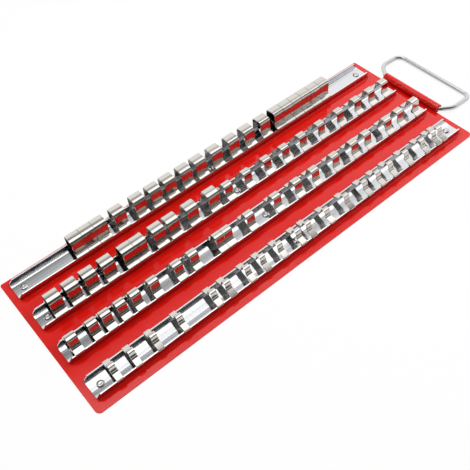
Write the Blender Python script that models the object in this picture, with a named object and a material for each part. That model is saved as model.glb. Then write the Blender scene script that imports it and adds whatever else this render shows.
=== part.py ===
"""Socket organizer: a flat steel tray with four clip rails and a folding carry handle.

The tray is one red sheet. A tab on its right edge is rolled up and over into an eye, and the
handle's wire turns in that eye. Four chromed channel rails are riveted along the tray. Each rail
has out-turned lips, and sprung clips straddle it: their feet hook round the lips and their heads
stand up to take the square drive of a socket. The clips slide along the rails.

X runs along the rails with the handle at +X, +Y points to the back edge and +Z points up. The
origin is the middle of the tray's underside, which lies on the bench. Sizes are in metres.
"""

import math

import bmesh
import bpy
from mathutils import Vector

# Tray sheet
TRAY_LENGTH = 0.430
TRAY_WIDTH = 0.155
TRAY_SHEET = 0.0012
FRONT_CORNER_RADIUS = 0.0045
BACK_CORNER_RADIUS = 0.0020
CORNER_STEPS = 4

# Gap that is left where two pieces seat on each other, and the bite where they are one piece
SEAT_GAP = 0.0003
SEAT_BITE = 0.0001
MERGE_DISTANCE = 0.00002

# Handle: a wire bail, and the eye that the tray's tab is rolled into around it
WIRE_DIAMETER = 0.0045
WIRE_CLEARANCE = 0.0006
EYE_LENGTH = 0.0700
EYE_OFFSET_Y = 0.0013
EYE_OVERHANG = 0.0030
EYE_TURN = math.radians(303)
EYE_STEPS = 15
BAIL_REACH = 0.0380
BAIL_END_GAP = 0.0040
MOUTH_BEND = 0.0054
MOUTH_DEPTH = 0.0018
BEND_STEPS = 4
WIRE_RESOLUTION = 3

# The handle's two ends differ. Each arm lies so far from the middle of the eye. The wire leaves the
# eye at an angle to it, bends on into the arm, and turns the outer corner
NEAR_END = {
    "arm": 0.0437,
    "mouth_angle": math.radians(57),
    "arm_bend": 0.0160,
    "corner_bend": 0.0070,
}
FAR_END = {
    "arm": 0.0497,
    "mouth_angle": math.radians(38),
    "arm_bend": 0.0120,
    "corner_bend": 0.0090,
}

# Rails
RAIL_INSET = 0.0064
FRONT_RAIL_INSET = 0.0194
BACK_RAIL_INSET = 0.0165
RAIL_WIDTH = 0.0202
RAIL_HEIGHT = 0.0065
RAIL_SHEET = 0.0007
RAIL_FLOOR_BEND = 0.0016
LIP_WIDTH = 0.0007
RAIL_END_RADIUS = 0.0045
RAIL_BEND_STEPS = 3
RAIL_OVERRUN = 0.0020

# Rivets, three in each rail
RIVET_SHANK_RADIUS = 0.0015
RIVET_TAIL_RADIUS = 0.0023
RIVET_TAIL_RECESS = 0.0002
RIVET_HEAD_RADIUS = 0.0028
RIVET_HEAD_HEIGHT = 0.0012
RIVET_SIDES = 10
RIVET_DOME_SHARES = ((1.00, 0.25), (0.72, 0.80))
RIVET_SHARES = (0.0213, 0.5050, 0.9787)

# Clips: one bent strip each. Heights are taken from the top of the rail's lips
CLIP_STRIP = 0.0007
CLIP_SEAM_WIDTH = 0.0004
CLIP_SEAM_DEPTH = 0.00015
CLIP_HOOK_REACH = 0.00035
CLIP_THROAT_BEND = 0.0014

HALF_INCH = {
    "name": "half_inch",
    "width": 0.0122,
    "waist": 0.0050,
    "waist_height": 0.0032,
    "bulge": 0.0067,
    "bulge_height": 0.0104,
    "roof": 0.0030,
    "roof_height": 0.0170,
    "shoulder_steps": 3,
}
THREE_EIGHTH = {
    "name": "three_eighth",
    "width": 0.0090,
    "waist": 0.0041,
    "waist_height": 0.0030,
    "bulge": 0.0050,
    "bulge_height": 0.0078,
    "roof": 0.0023,
    "roof_height": 0.0125,
    "shoulder_steps": 2,
}
QUARTER_INCH = {
    "name": "quarter_inch",
    "width": 0.0060,
    "waist": 0.0026,
    "waist_height": 0.0026,
    "bulge": 0.0033,
    "bulge_height": 0.0060,
    "roof": 0.0014,
    "roof_height": 0.0096,
    "shoulder_steps": 2,
}

# Where the clips stand, rail by rail from the back of the tray. Each entry is one run of clips that
# touch each other: the bare rail before it, as a share of all the rail that no clip covers, and how
# many clips it has
RAIL_1_HALF_INCH_SHARES = (
    (0.3086, 3),
    (0.0394, 1),
    (0.0490, 1),
    (0.0264, 1),
    (0.0220, 1),
    (0.0332, 1),
    (0.0242, 1),
    (0.0377, 1),
    (0.0467, 1),
    (0.0355, 1),
    (0.0422, 1),
    (0.0307, 6),
)
RAIL_2_HALF_INCH_SHARES = (
    (0.0618, 1),
    (0.0218, 1),
    (0.0219, 1),
    (0.0259, 1),
    (0.0369, 2),
    (0.0349, 1),
    (0.0137, 1),
    (0.0422, 1),
    (0.0544, 1),
)
RAIL_2_THREE_EIGHTH_SHARES = (
    (0.0378, 1),
    (0.0659, 1),
    (0.0721, 1),
    (0.0659, 1),
    (0.0659, 1),
    (0.0721, 1),
    (0.0801, 1),
    (0.0741, 1),
    (0.0517, 1),
    (0.0476, 1),
)
RAIL_3_THREE_EIGHTH_SHARES = (
    (0.0268, 1),
    (0.0412, 1),
    (0.0148, 1),
    (0.0218, 1),
    (0.0201, 1),
    (0.0377, 1),
    (0.0641, 1),
    (0.0307, 1),
    (0.0785, 2),
    (0.0679, 1),
    (0.0923, 1),
    (0.0675, 1),
    (0.0518, 1),
    (0.0711, 1),
    (0.0658, 1),
    (0.0360, 1),
    (0.0816, 1),
    (0.0324, 1),
    (0.0536, 1),
)
RAIL_4_QUARTER_INCH_SHARES = (
    (0.0615, 1),
    (0.0402, 1),
    (0.0486, 1),
    (0.0640, 1),
)
# These are drawn in one piece with the rail that they are sprung on
RAIL_4_SEATED_SHARES = (
    (0.0935, 1),
    (0.0276, 1),
    (0.0514, 1),
    (0.0345, 1),
    (0.0444, 1),
    (0.0500, 1),
    (0.0205, 1),
    (0.0542, 1),
    (0.0599, 1),
    (0.0584, 1),
    (0.0374, 1),
    (0.0345, 1),
    (0.0500, 1),
    (0.0556, 1),
    (0.0332, 1),
    (0.0079, 1),
)

# The clips of each rail, group by group along it: their size, their runs, and whether they slide
RAIL_CLIPS = (
    ((HALF_INCH, RAIL_1_HALF_INCH_SHARES, True),),
    (
        (HALF_INCH, RAIL_2_HALF_INCH_SHARES, True),
        (THREE_EIGHTH, RAIL_2_THREE_EIGHTH_SHARES, True),
    ),
    ((THREE_EIGHTH, RAIL_3_THREE_EIGHTH_SHARES, True),),
    (
        (QUARTER_INCH, RAIL_4_QUARTER_INCH_SHARES, True),
        (QUARTER_INCH, RAIL_4_SEATED_SHARES, False),
    ),
)

# Finishes: colour, roughness and metallic value
RED_PAINT = ((0.60, 0.012, 0.014), 0.22, 0.0)
BRIGHT_CHROME = ((0.78, 0.79, 0.81), 0.10, 1.0)
SATIN_CHROME = ((0.62, 0.62, 0.62), 0.30, 1.0)
SPRING_NICKEL = ((0.76, 0.73, 0.70), 0.16, 1.0)

SMOOTH_ANGLE = math.radians(40)
QUARTER_TURN = math.pi / 2

# Worked out from the sizes above
RAIL_LENGTH = TRAY_LENGTH - 2 * RAIL_INSET
RAIL_SPREAD = TRAY_WIDTH - FRONT_RAIL_INSET - BACK_RAIL_INSET
RAIL_PITCH = RAIL_SPREAD / (len(RAIL_CLIPS) - 1)
RAIL_BASE = TRAY_SHEET + SEAT_GAP
WIRE_RADIUS = WIRE_DIAMETER / 2
EYE_RADIUS = WIRE_RADIUS + WIRE_CLEARANCE + TRAY_SHEET
HINGE_X = TRAY_LENGTH / 2 + EYE_OVERHANG
HINGE_Z = EYE_RADIUS
BAIL_DROOP = math.asin((HINGE_Z - WIRE_RADIUS) / BAIL_REACH)


def clear_scene():
    """Remove whatever the file held before."""
    for item in list(bpy.data.objects):
        bpy.data.objects.remove(item)


def finish_material(name, finish):
    """Make one Principled material from a colour, a roughness and a metallic value."""
    colour, roughness, metallic = finish
    material = bpy.data.materials.new(name)
    material.use_nodes = True
    shader = material.node_tree.nodes["Principled BSDF"]
    shader.inputs["Base Color"].default_value = (*colour, 1)
    shader.inputs["Roughness"].default_value = roughness
    shader.inputs["Metallic"].default_value = metallic
    material.diffuse_color = (*colour, 1)
    return material


def place(name, data, finish, location=(0, 0, 0), parent=None):
    """Give a mesh or curve an object of its own, with its own material."""
    data.materials.append(finish_material(name, finish))
    item = bpy.data.objects.new(name, data)
    item.location = location
    item.parent = parent
    bpy.context.scene.collection.objects.link(item)
    return item


def mesh_from(bm, name, smooth=False):
    """Turn a bmesh into a mesh whose faces point outwards."""
    bmesh.ops.recalc_face_normals(bm, faces=bm.faces[:])
    mesh = bpy.data.meshes.new(name)
    bm.to_mesh(mesh)
    bm.free()
    if smooth:
        mesh.shade_smooth()
        mesh.set_sharp_from_angle(angle=SMOOTH_ANGLE)
    return mesh


def arc(centre, radii, start, turn, steps):
    """Points on an elliptical arc, both ends included."""
    points = []
    for step in range(steps + 1):
        angle = start + turn * step / steps
        across = centre[0] + radii[0] * math.cos(angle)
        up = centre[1] + radii[1] * math.sin(angle)
        points.append((across, up))
    return points


def add_prism(bm, corners, direction):
    """Extrude one flat face, given by its corners, along a direction."""
    face = bm.faces.new([bm.verts.new(corner) for corner in corners])
    extruded = bmesh.ops.extrude_face_region(bm, geom=[face])
    moved = [item for item in extruded["geom"] if isinstance(item, bmesh.types.BMVert)]
    bmesh.ops.translate(bm, vec=direction, verts=moved)


def add_turned(bm, profile, centre, sides):
    """Revolve a profile of (radius, height) points about a vertical line through centre."""
    line = [bm.verts.new((centre[0] + radius, centre[1], height)) for radius, height in profile]
    edges = [bm.edges.new(pair) for pair in zip(line, line[1:])]
    bmesh.ops.spin(
        bm,
        geom=line + edges,
        cent=(centre[0], centre[1], 0),
        axis=(0, 0, 1),
        angle=2 * math.pi,
        steps=sides,
        use_merge=True,
    )
    bmesh.ops.remove_doubles(bm, verts=bm.verts[:], dist=MERGE_DISTANCE)


def strip_outline(path, thickness):
    """Both faces of a bent strip, from the path of its middle plane."""
    points = [Vector(point) for point in path]
    runs = [(after - before).normalized() for before, after in zip(points, points[1:])]
    normals = [Vector((-run.y, run.x)) for run in runs]
    before = [normals[0]] + normals
    after = normals + [normals[-1]]
    offsets = []
    for first, second in zip(before, after):
        mitre = (first + second) / (1 + first.dot(second))
        offsets.append(mitre * thickness / 2)
    outer = [point + offset for point, offset in zip(points, offsets)]
    inner = [point - offset for point, offset in zip(points, offsets)]
    return outer + inner[::-1]


def tray_outline():
    """The flat blank: rounded corners, and the tab that is rolled into the eye."""
    half_length = TRAY_LENGTH / 2
    half_width = TRAY_WIDTH / 2
    corners = (
        (-1, -1, FRONT_CORNER_RADIUS, math.pi),
        (1, -1, FRONT_CORNER_RADIUS, -QUARTER_TURN),
        (1, 1, BACK_CORNER_RADIUS, 0),
        (-1, 1, BACK_CORNER_RADIUS, QUARTER_TURN),
    )
    outline = []
    for side_x, side_y, radius, start in corners:
        centre = (side_x * (half_length - radius), side_y * (half_width - radius))
        outline += arc(centre, (radius, radius), start, QUARTER_TURN, CORNER_STEPS)
        if (side_x, side_y) == (1, -1):
            near = EYE_OFFSET_Y - EYE_LENGTH / 2
            far = EYE_OFFSET_Y + EYE_LENGTH / 2
            outline += [(half_length, near), (HINGE_X, near), (HINGE_X, far), (half_length, far)]
    return outline


def make_tray():
    """One sheet, with its tab spun up and over into the eye for the handle's wire."""
    bm = bmesh.new()
    add_prism(bm, [(x, y, 0) for x, y in tray_outline()], (0, 0, TRAY_SHEET))
    tab_end = max(bm.faces, key=lambda face: face.calc_center_median().x)
    bmesh.ops.spin(
        bm,
        geom=[tab_end],
        cent=(HINGE_X, 0, HINGE_Z),
        axis=(0, -1, 0),
        angle=EYE_TURN,
        steps=EYE_STEPS,
    )
    bmesh.ops.delete(bm, geom=[tab_end], context="FACES_ONLY")
    return place("tray", mesh_from(bm, "tray", smooth=True), RED_PAINT)


def rail_middle_y(row):
    """Middle of a rail, counted from 0 at the back."""
    return TRAY_WIDTH / 2 - BACK_RAIL_INSET - RAIL_PITCH * row


def along_rail(share):
    """Place along a rail, from its middle, of a share of its length."""
    return RAIL_LENGTH * share - RAIL_LENGTH / 2


def rail_path():
    """Middle plane of the rail's sheet: out-turned lips, upright walls and a flat floor."""
    lip_edge = RAIL_WIDTH / 2
    wall = lip_edge - LIP_WIDTH - RAIL_SHEET / 2
    floor = RAIL_SHEET / 2
    top = RAIL_HEIGHT - RAIL_SHEET / 2
    bend = RAIL_FLOOR_BEND - RAIL_SHEET / 2
    half = [(lip_edge, top), (wall, top)]
    half += arc((wall - bend, floor + bend), (bend, bend), 0, -QUARTER_TURN, RAIL_BEND_STEPS)
    return half + [(-y, z) for y, z in reversed(half)]


def make_rail(row, tray):
    """Extrude the channel and round off the top corners of both its ends."""
    name = f"rail_{row + 1}"
    half = RAIL_LENGTH / 2
    bm = bmesh.new()
    outline = strip_outline(rail_path(), RAIL_SHEET)
    add_prism(bm, [(-half, y, z) for y, z in outline], (RAIL_LENGTH, 0, 0))
    location = (0, rail_middle_y(row), RAIL_BASE)
    rail = place(name, mesh_from(bm, name, smooth=True), BRIGHT_CHROME, location, tray)

    side = [(-half, -RAIL_OVERRUN), (half, -RAIL_OVERRUN)]
    radius = RAIL_END_RADIUS
    radii = (radius, radius)
    top = RAIL_HEIGHT - radius
    side += arc((half - radius, top), radii, 0, QUARTER_TURN, RAIL_BEND_STEPS)
    side += arc((radius - half, top), radii, QUARTER_TURN, QUARTER_TURN, RAIL_BEND_STEPS)
    depth = RAIL_WIDTH + 2 * RAIL_OVERRUN
    bm = bmesh.new()
    add_prism(bm, [(x, -depth / 2, z) for x, z in side], (0, depth, 0))
    guide = name + "_end_guide"
    cutter = place(guide, mesh_from(bm, guide), BRIGHT_CHROME, location, tray)
    add_boolean(rail, cutter, "INTERSECT")
    return rail


def add_boolean(item, cutter, operation):
    """Cut one object by another, which is then only a guide."""
    cutter.hide_render = True
    cutter.display_type = "WIRE"
    boolean = item.modifiers.new(cutter.name, "BOOLEAN")
    boolean.operation = operation
    boolean.object = cutter
    boolean.solver = "EXACT"


def rivet_profile():
    """Flush tail, shank and domed head, from the tray's underside up to the rail's floor."""
    neck = RIVET_TAIL_RECESS + RIVET_TAIL_RADIUS - RIVET_SHANK_RADIUS
    seat = RAIL_BASE + RAIL_SHEET - SEAT_BITE
    profile = [(0, RIVET_TAIL_RECESS), (RIVET_TAIL_RADIUS, RIVET_TAIL_RECESS)]
    profile += [(RIVET_SHANK_RADIUS, neck), (RIVET_SHANK_RADIUS, seat), (RIVET_HEAD_RADIUS, seat)]
    for out, up in RIVET_DOME_SHARES:
        profile.append((out * RIVET_HEAD_RADIUS, seat + up * RIVET_HEAD_HEIGHT))
    return profile + [(0, seat + RIVET_HEAD_HEIGHT)]


def rivet_hole_profile():
    """The countersunk hole in the tray that a rivet passes through, with its clearance."""
    neck = RIVET_TAIL_RECESS + RIVET_TAIL_RADIUS - RIVET_SHANK_RADIUS
    tail = RIVET_TAIL_RADIUS + SEAT_GAP
    shank = RIVET_SHANK_RADIUS + SEAT_GAP
    profile = [(0, -RIVET_HEAD_HEIGHT), (tail, -RIVET_HEAD_HEIGHT), (tail, RIVET_TAIL_RECESS)]
    top = TRAY_SHEET + RIVET_HEAD_HEIGHT
    return profile + [(shank, neck), (shank, top), (0, top)]


def turned_row(name, profile, row, tray):
    """A guide that turns one profile at each of a rail's three rivets."""
    bm = bmesh.new()
    for share in RIVET_SHARES:
        add_turned(bm, profile, (along_rail(share), 0), RIVET_SIDES)
    location = (0, rail_middle_y(row), 0)
    return place(name, mesh_from(bm, name, smooth=True), BRIGHT_CHROME, location, tray)


def rivet_rail(row, tray, rail):
    """Join the rail's rivets to it, and cut the holes that they pass through in the tray."""
    rivets = turned_row(f"rail_{row + 1}_rivets", rivet_profile(), row, tray)
    holes = turned_row(f"rail_{row + 1}_rivet_holes", rivet_hole_profile(), row, tray)
    add_boolean(rail, rivets, "UNION")
    add_boolean(tray, holes, "DIFFERENCE")


def clip_path(head, seat):
    """Middle plane of one clip, from one hook over the head to the other hook."""
    leg = RAIL_WIDTH / 2 + seat + CLIP_STRIP / 2
    above = seat + CLIP_STRIP / 2
    below = -(RAIL_SHEET + seat + CLIP_STRIP / 2)
    waist = head["waist"] - CLIP_STRIP / 2
    bulge = head["bulge"] - CLIP_STRIP / 2
    roof = head["roof_height"] - CLIP_STRIP / 2
    throat = (waist + CLIP_THROAT_BEND, head["waist_height"] - CLIP_THROAT_BEND)
    half = [(RAIL_WIDTH / 2 - CLIP_HOOK_REACH, below), (leg, below), (leg, above)]
    half += [throat, (waist, head["waist_height"])]
    shoulder = (head["roof"], head["bulge_height"])
    radii = (bulge - head["roof"], roof - head["bulge_height"])
    half += arc(shoulder, radii, 0, QUARTER_TURN, head["shoulder_steps"])
    return half + [(-y, z) for y, z in reversed(half)]


def add_clip_run(bm, head, count, middle, seat):
    """Loft a run of touching clips, with a fine groove at the seam between two of them."""
    path = clip_path(head, seat)
    full = strip_outline(path, CLIP_STRIP)
    thin = strip_outline(path, CLIP_STRIP - 2 * CLIP_SEAM_DEPTH)
    width = head["width"]
    start = middle - count * width / 2
    sections = [(start, full)]
    for seam in range(1, count):
        here = start + seam * width
        sections += [(here - CLIP_SEAM_WIDTH / 2, full), (here, thin)]
        sections += [(here + CLIP_SEAM_WIDTH / 2, full)]
    sections.append((start + count * width, full))

    rings = []
    for x, outline in sections:
        corners = [bm.verts.new((x, point.x, point.y)) for point in outline]
        pairs = zip(corners, corners[1:] + corners[:1])
        rings.append((corners, [bm.edges.new(pair) for pair in pairs]))
    for (_, before), (_, after) in zip(rings, rings[1:]):
        bmesh.ops.bridge_loops(bm, edges=before + after)
    bm.faces.new(rings[0][0])
    bm.faces.new(rings[-1][0])


def clip_groups(row):
    """The clips of one rail, group by group: each run's middle along the rail and its count."""
    groups = RAIL_CLIPS[row]
    covered = sum(head["width"] * count for head, runs, _ in groups for _, count in runs)
    bare = RAIL_LENGTH - covered
    reached = -RAIL_LENGTH / 2
    found = []
    for head, runs, slides in groups:
        placed = []
        for share, count in runs:
            start = reached + bare * share
            reached = start + head["width"] * count
            placed.append(((start + reached) / 2, count))
        found.append((head, placed, slides))
    return found


def make_sliding_clips(row, rail):
    """One node for each run of clips, with its origin at the middle of the run."""
    for head, placed, slides in clip_groups(row):
        if not slides:
            continue
        for number, (middle, count) in enumerate(placed, start=1):
            name = f"rail_{row + 1}_{head['name']}_clip_{number:02d}"
            bm = bmesh.new()
            add_clip_run(bm, head, count, 0, SEAT_GAP)
            location = (middle, 0, RAIL_HEIGHT)
            place(name, mesh_from(bm, name, smooth=True), SPRING_NICKEL, location, rail)


def seat_clips(row, rail):
    """Join the clips that are drawn in one piece with their rail."""
    for head, placed, slides in clip_groups(row):
        if slides:
            continue
        name = f"rail_{row + 1}_{head['name']}_seated"
        bm = bmesh.new()
        for middle, count in placed:
            add_clip_run(bm, head, count, middle, -SEAT_BITE)
        location = (0, 0, RAIL_HEIGHT)
        guide = place(name, mesh_from(bm, name), SPRING_NICKEL, location, rail)
        add_boolean(rail, guide, "UNION")


def bail_end(end):
    """Middle line of one end of the wire, from the middle of the eye to the outer corner."""
    angle = end["mouth_angle"]
    lean = QUARTER_TURN - angle
    start = EYE_LENGTH / 2 - MOUTH_DEPTH
    radii = (MOUTH_BEND, MOUTH_BEND)
    points = [(0, BAIL_END_GAP / 2)]
    points += arc((MOUTH_BEND, start), radii, math.pi, -angle, BEND_STEPS)

    bend = end["arm_bend"]
    rise = end["arm"] - bend * (1 - math.sin(angle)) - points[-1][1]
    along = points[-1][0] + rise * math.tan(angle)
    centre = (along + bend * math.cos(angle), end["arm"] - bend)
    points += arc(centre, (bend, bend), math.pi - angle, -lean, BEND_STEPS)

    corner = end["corner_bend"]
    centre = (BAIL_REACH - corner, end["arm"] - corner)
    return points + arc(centre, (corner, corner), QUARTER_TURN, -QUARTER_TURN, BEND_STEPS)


def bail_points():
    """The wire's middle line: both ends lie in the eye, and the loop lies outside the tray."""
    near = [(x, -y) for x, y in bail_end(NEAR_END)]
    return near + bail_end(FAR_END)[::-1]


def make_bail(tray):
    """The handle, with its origin on the hinge axis and its outer bar down on the bench."""
    curve = bpy.data.curves.new("bail", "CURVE")
    curve.dimensions = "3D"
    curve.bevel_depth = WIRE_RADIUS
    curve.bevel_resolution = WIRE_RESOLUTION
    curve.use_fill_caps = True
    points = bail_points()
    spline = curve.splines.new("POLY")
    spline.points.add(len(points) - 1)
    for point, (x, y) in zip(spline.points, points):
        point.co = (x, y, 0, 1)
    location = (HINGE_X, EYE_OFFSET_Y, HINGE_Z)
    bail = place("bail", curve, SATIN_CHROME, location, tray)
    bail.rotation_euler = (0, BAIL_DROOP, 0)


def main():
    """Build the organizer, piece by piece."""
    clear_scene()
    tray = make_tray()
    for row in range(len(RAIL_CLIPS)):
        rail = make_rail(row, tray)
        rivet_rail(row, tray, rail)
        seat_clips(row, rail)
        make_sliding_clips(row, rail)
    make_bail(tray)


main()
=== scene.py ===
# %% [markdown]
# # A socket organizer, dressed in Blender
#
# The real object is a flat red steel tray. Four chromed channel rails are riveted to it, and sprung
# clips ride on the rails to hold sockets by their square drive holes. A wire handle folds in an eye
# that is rolled from the tray itself.
#
# Every part is thin metal bent to shape, so nearly every piece here is made the way a press makes
# it: a line is bent, the line is drawn out into a sheet, and the sheet is given its thickness.

import math

import bmesh
import bpy
from mathutils import Matrix, Vector


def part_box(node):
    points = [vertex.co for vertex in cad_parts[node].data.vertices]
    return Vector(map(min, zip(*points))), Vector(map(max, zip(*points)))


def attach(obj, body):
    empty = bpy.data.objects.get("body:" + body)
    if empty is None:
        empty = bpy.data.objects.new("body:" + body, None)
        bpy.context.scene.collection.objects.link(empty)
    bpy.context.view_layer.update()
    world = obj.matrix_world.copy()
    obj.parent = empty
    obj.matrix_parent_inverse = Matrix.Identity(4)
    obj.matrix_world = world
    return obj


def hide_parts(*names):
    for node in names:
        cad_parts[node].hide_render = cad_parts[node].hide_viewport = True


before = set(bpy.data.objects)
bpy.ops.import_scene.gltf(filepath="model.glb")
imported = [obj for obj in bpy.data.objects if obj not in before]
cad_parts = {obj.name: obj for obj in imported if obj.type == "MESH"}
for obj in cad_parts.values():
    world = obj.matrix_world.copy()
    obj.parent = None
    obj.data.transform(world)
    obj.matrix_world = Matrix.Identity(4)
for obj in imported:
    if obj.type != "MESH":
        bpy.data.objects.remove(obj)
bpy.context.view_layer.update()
MM = 1000

# %% [markdown]
# ## Sizes
#
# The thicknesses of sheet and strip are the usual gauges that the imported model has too. Lengths
# are in metres, X runs along the rails to the handle, Y to the back edge and Z up.

# %% Shared sizes
HALF = 0.5
QUARTER_TURN = math.pi / 2
FULL_TURN = 2 * math.pi

TRAY_SHEET = 0.0012
RAIL_SHEET = 0.0007
CLIP_STRIP = 0.0007

RAIL_NAMES = ("rail_1", "rail_2", "rail_3", "rail_4")
RAIL_WIDTH = 0.0202
RAIL_HEIGHT = 0.0065
RAIL_BASE = 0.0015
LIP_TOP = RAIL_BASE + RAIL_HEIGHT

rail_low, rail_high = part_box("rail_1")
RAIL_LENGTH = rail_high.x - rail_low.x
RAIL_MIDDLES = {}
for rail_name in RAIL_NAMES:
    low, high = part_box(rail_name)
    RAIL_MIDDLES[rail_name] = (low.y + high.y) * HALF
print("Rail length in mm:", round(RAIL_LENGTH * MM, 1))
print("Rail middles in mm:", [round(y * MM, 1) for y in RAIL_MIDDLES.values()])

# %% [markdown]
# ## Building with nodes
#
# A finish in Blender is a tree of nodes joined by links. A node takes its settings by name and its
# plain values on its sockets, and one helper does both. A second helper mixes two colours by a
# mask, which both the finishes and the studio's walls need.

# %% Helpers for node trees
def add_node(tree, kind, **settings):
    """One node with its settings and any socket values that are given by name."""
    node = tree.nodes.new(kind)
    for label, value in settings.items():
        if hasattr(node, label):
            setattr(node, label, value)
        else:
            node.inputs[label.replace("_", " ")].default_value = value
    return node


def grey(level):
    """A colour without any tint."""
    return (level, level, level)


def mix_colours(tree, share, first, second):
    """Mixes two colours by a share of 0 to 1. Each is a colour, or a socket that gives one."""
    node = add_node(tree, "ShaderNodeMix", data_type="RGBA")
    tree.links.new(share, node.inputs["Factor"])
    ends = [socket for socket in node.inputs if socket.type == "RGBA"]
    for socket, colour in zip(ends, (first, second)):
        if isinstance(colour, bpy.types.NodeSocket):
            tree.links.new(colour, socket)
        else:
            socket.default_value = (*colour, 1)
    return next(socket for socket in node.outputs if socket.type == "RGBA")


print("Node helpers:", add_node.__name__, "and", mix_colours.__name__)

# %% [markdown]
# ## Lines in worked metal
#
# Rolled and drawn metal carries fine lines along the way it was worked. They could be a picture,
# but a noise does it without one: stretched along the metal, its spots become lines. It is a node
# group, so that every metal takes it with its own spacing. The group puts out a plain mask, and the
# shader stays in the material.

# %% Node group: lines left by rolling and drawing
FINE_NOISE = {"Detail": 3.0, "Roughness": 0.65}
COARSE_NOISE = {"Scale": 180.0, "Detail": 2.0}
FINE_SHARE = 0.7
COARSE_SHARE = 0.3


def new_group(name, inputs, output):
    """An empty shader group with its sockets, and its two end nodes."""
    group = bpy.data.node_groups.new(name, "ShaderNodeTree")
    for label, kind in inputs:
        group.interface.new_socket(label, in_out="INPUT", socket_type=kind)
    group.interface.new_socket(output, in_out="OUTPUT", socket_type="NodeSocketFloat")
    return group, group.nodes.new("NodeGroupInput"), group.nodes.new("NodeGroupOutput")


def drawn_lines_group():
    """Fine and coarse noise in one mask. It turns into lines where its vector is stretched."""
    sockets = [("Vector", "NodeSocketVector"), ("Spacing", "NodeSocketFloat")]
    group, start, end = new_group("drawn lines", sockets, "Mask")
    fine = add_node(group, "ShaderNodeTexNoise", **FINE_NOISE)
    coarse = add_node(group, "ShaderNodeTexNoise", **COARSE_NOISE)
    shrink = add_node(group, "ShaderNodeMath", operation="MULTIPLY")
    shrink.inputs[1].default_value = COARSE_SHARE
    blend = add_node(group, "ShaderNodeMath", operation="MULTIPLY_ADD")
    blend.inputs[1].default_value = FINE_SHARE
    links = group.links
    links.new(start.outputs["Vector"], fine.inputs["Vector"])
    links.new(start.outputs["Spacing"], fine.inputs["Scale"])
    links.new(start.outputs["Vector"], coarse.inputs["Vector"])
    links.new(coarse.outputs["Fac"], shrink.inputs[0])
    links.new(fine.outputs["Fac"], blend.inputs[0])
    links.new(shrink.outputs[0], blend.inputs[2])
    links.new(blend.outputs[0], end.inputs["Mask"])
    return group


DRAWN_LINES = drawn_lines_group()
print("Made the group", DRAWN_LINES.name)

# %% [markdown]
# ## Haze of handling
#
# Paint and metal alike are a little duller where they were touched and where dust lies. A broad,
# soft noise stands for that. It is a group of its own, because all the finishes share it.

# %% Node group: handling marks
HAZE_NOISE = {"Scale": 28.0, "Detail": 4.0, "Roughness": 0.6}


def handling_group():
    """The soft haze of hands and dust, as a mask."""
    group, start, end = new_group("handling marks", [("Vector", "NodeSocketVector")], "Haze")
    haze = add_node(group, "ShaderNodeTexNoise", **HAZE_NOISE)
    group.links.new(start.outputs["Vector"], haze.inputs["Vector"])
    group.links.new(haze.outputs["Fac"], end.inputs["Haze"])
    return group


HANDLING = handling_group()
print("Made the group", HANDLING.name)

# %% [markdown]
# ## What every finish needs
#
# Each finish is a Principled shader whose roughness, colour and relief follow masks. The masks read
# object coordinates, which stay put when a piece moves, so no pattern slides at another pose.

# %% Helpers for materials
def new_material(name, colour, metallic, roughness):
    """A material with a Principled shader and its plain values."""
    material = bpy.data.materials.new(name)
    material.use_nodes = True
    tree = material.node_tree
    shader = tree.nodes["Principled BSDF"]
    shader.inputs["Base Color"].default_value = (*colour, 1)
    shader.inputs["Metallic"].default_value = metallic
    shader.inputs["Roughness"].default_value = roughness
    return material, tree, shader


def place_group(tree, group, place, stretch=None):
    """Puts a group into a material, fed by coordinates that may be stretched first."""
    node = add_node(tree, "ShaderNodeGroup", node_tree=group)
    if stretch:
        mapping = add_node(tree, "ShaderNodeMapping", vector_type="POINT", Scale=stretch)
        tree.links.new(place, mapping.inputs["Vector"])
        place = mapping.outputs["Vector"]
    tree.links.new(place, node.inputs["Vector"])
    return node


def between(tree, mask, low, high):
    """Turns a mask of 0 to 1 into a value that runs from low to high."""
    node = add_node(tree, "ShaderNodeMapRange", To_Min=low, To_Max=high)
    tree.links.new(mask, node.inputs["Value"])
    return node.outputs["Result"]


def add_relief(tree, shader, height, strength, depth):
    """Turns a mask into small hills and valleys by way of the shader's normal."""
    relief = add_node(tree, "ShaderNodeBump", Strength=strength, Distance=depth)
    tree.links.new(height, relief.inputs["Height"])
    tree.links.new(relief.outputs["Normal"], shader.inputs["Normal"])


print("Material helpers:", new_material.__name__, "and", add_relief.__name__)

# %% [markdown]
# ## The red powder coat
#
# The tray is sprayed and baked. The paint is glossy, with the slight ripple that is called orange
# peel, and handling leaves a little haze on it. The ripple goes into the normal, and the haze into
# the roughness and, barely seen, the colour.

# %% Material: powder coat
COAT_RED = (0.64, 0.006, 0.003)
COAT_RED_CLEAN = (0.61, 0.005, 0.0025)
COAT_RED_HAZY = (0.68, 0.008, 0.004)
COAT_ROUGHNESS = 0.1
COAT_ROUGHNESS_RANGE = (0.06, 0.14)
COAT_IOR = 1.52
PEEL_NOISE = {"Scale": 650.0, "Detail": 1.0}
PEEL_STRENGTH = 0.04
PEEL_DEPTH = 0.0002


def powder_coat():
    """Glossy red with orange peel and haze."""
    material, tree, shader = new_material("powder_coat_red", COAT_RED, 0, COAT_ROUGHNESS)
    shader.inputs["IOR"].default_value = COAT_IOR
    place = add_node(tree, "ShaderNodeTexCoord").outputs["Object"]
    haze = place_group(tree, HANDLING, place).outputs["Haze"]
    colour = mix_colours(tree, haze, COAT_RED_CLEAN, COAT_RED_HAZY)
    tree.links.new(colour, shader.inputs["Base Color"])
    gloss = between(tree, haze, *COAT_ROUGHNESS_RANGE)
    tree.links.new(gloss, shader.inputs["Roughness"])
    peel = add_node(tree, "ShaderNodeTexNoise", **PEEL_NOISE)
    tree.links.new(place, peel.inputs["Vector"])
    add_relief(tree, shader, peel.outputs["Fac"], PEEL_STRENGTH, PEEL_DEPTH)
    return material


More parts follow.
